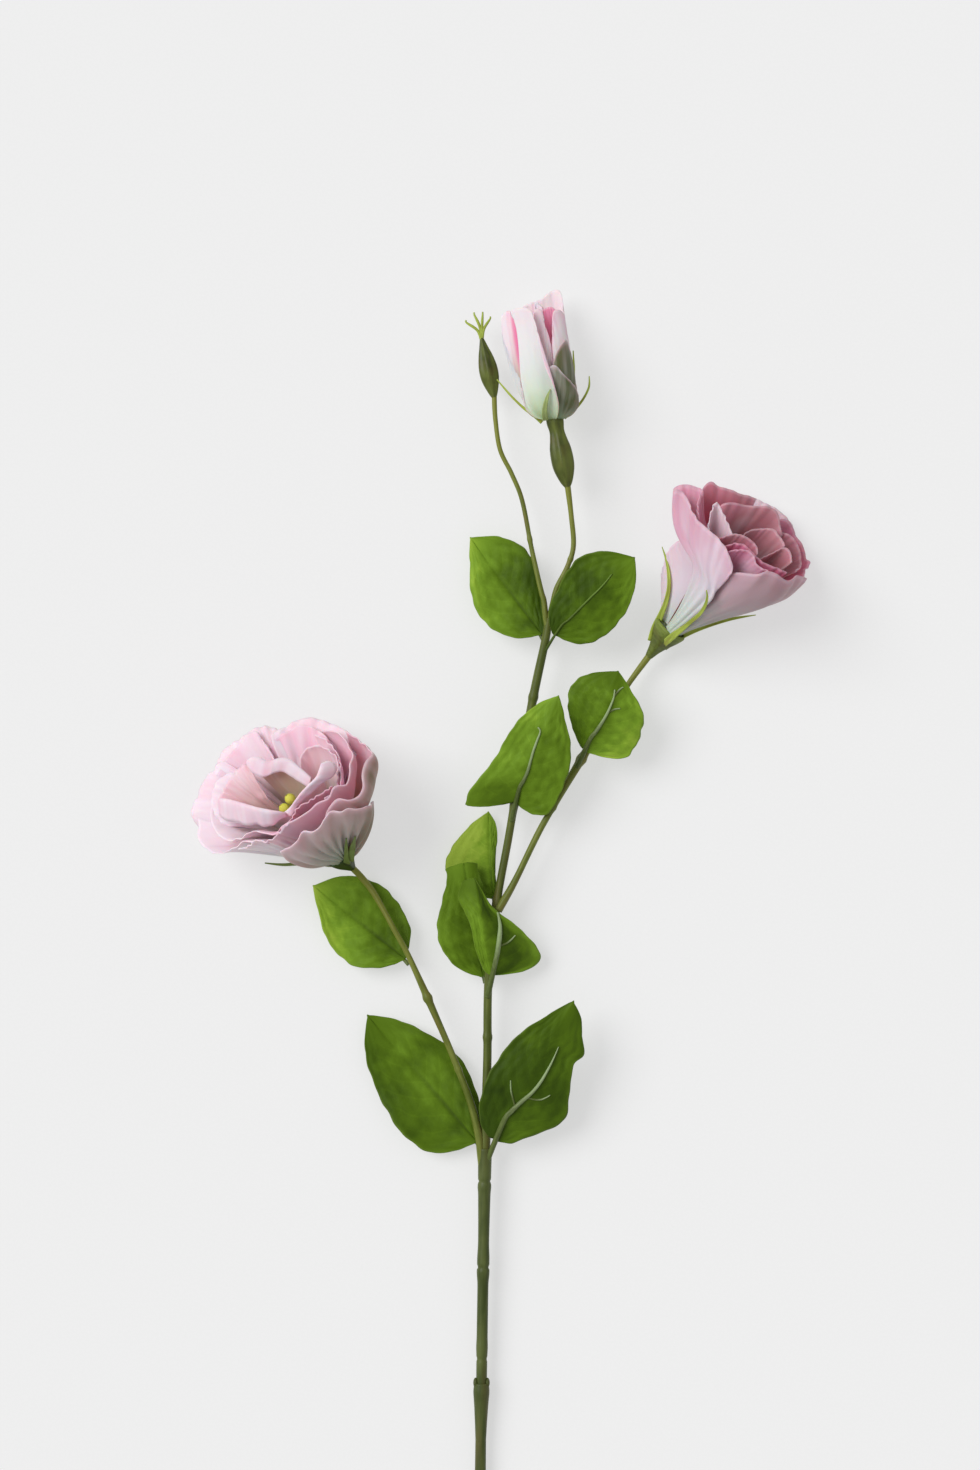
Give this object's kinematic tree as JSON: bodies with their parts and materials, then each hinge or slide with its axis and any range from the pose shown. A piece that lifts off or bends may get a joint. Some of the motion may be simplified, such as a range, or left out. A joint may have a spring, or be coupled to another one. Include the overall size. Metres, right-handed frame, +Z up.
{
  "type": "artificial lisianthus spray",
  "caption": "Artificial lisianthus spray lying on its back: pink ruffled open blooms, a half-open bloom and a closed bud on thin green stems with oval leaves.",
  "frame": {"origin": "on the surface that the spray lies on, under the middle of its box", "axes": "+Y along the stem from its cut end towards the flowers, +X to the right as seen from above, +Z up from the surface"},
  "size_m": [0.2644, 0.6082, 0.0684],
  "materials": {
    "stem_plastic": "satin",
    "branch_plastic": "satin",
    "leaf_fabric": "satin",
    "rib_plastic": "satin",
    "petal_fabric": "matte",
    "calyx_plastic": "satin",
    "pistil_plastic": "satin"
  },
  "bodies": {
    "root": {"lower_stem": "stem_plastic", "upper_stem": "stem_plastic", "left_branch": "branch_plastic", "right_branch": "branch_plastic", "bud_stem": "branch_plastic", "top_stem": "branch_plastic", "leaf_a": "leaf_fabric", "leaf_b": "leaf_fabric", "leaf_c": "leaf_fabric", "leaf_d": "leaf_fabric", "leaf_e": "leaf_fabric", "leaf_f": "leaf_fabric", "leaf_g": "leaf_fabric", "leaf_h": "leaf_fabric", "leaf_i": "leaf_fabric", "leaf_j": "leaf_fabric", "leaf_a_rib": "rib_plastic", "leaf_b_rib": "rib_plastic", "leaf_c_rib": "rib_plastic", "leaf_d_rib": "rib_plastic", "leaf_e_rib": "rib_plastic", "leaf_f_rib": "rib_plastic", "leaf_g_rib": "rib_plastic", "leaf_h_rib": "rib_plastic", "leaf_i_rib": "rib_plastic", "leaf_j_rib": "rib_plastic", "left_bloom_petals": "petal_fabric", "left_bloom_calyx": "calyx_plastic", "left_bloom_pistil": "pistil_plastic", "right_bloom_petals": "petal_fabric", "right_bloom_calyx": "calyx_plastic", "right_bloom_pistil": "pistil_plastic", "top_petals": "petal_fabric", "top_calyx": "calyx_plastic", "closed_bud": "calyx_plastic"}
  },
  "joints": []
}
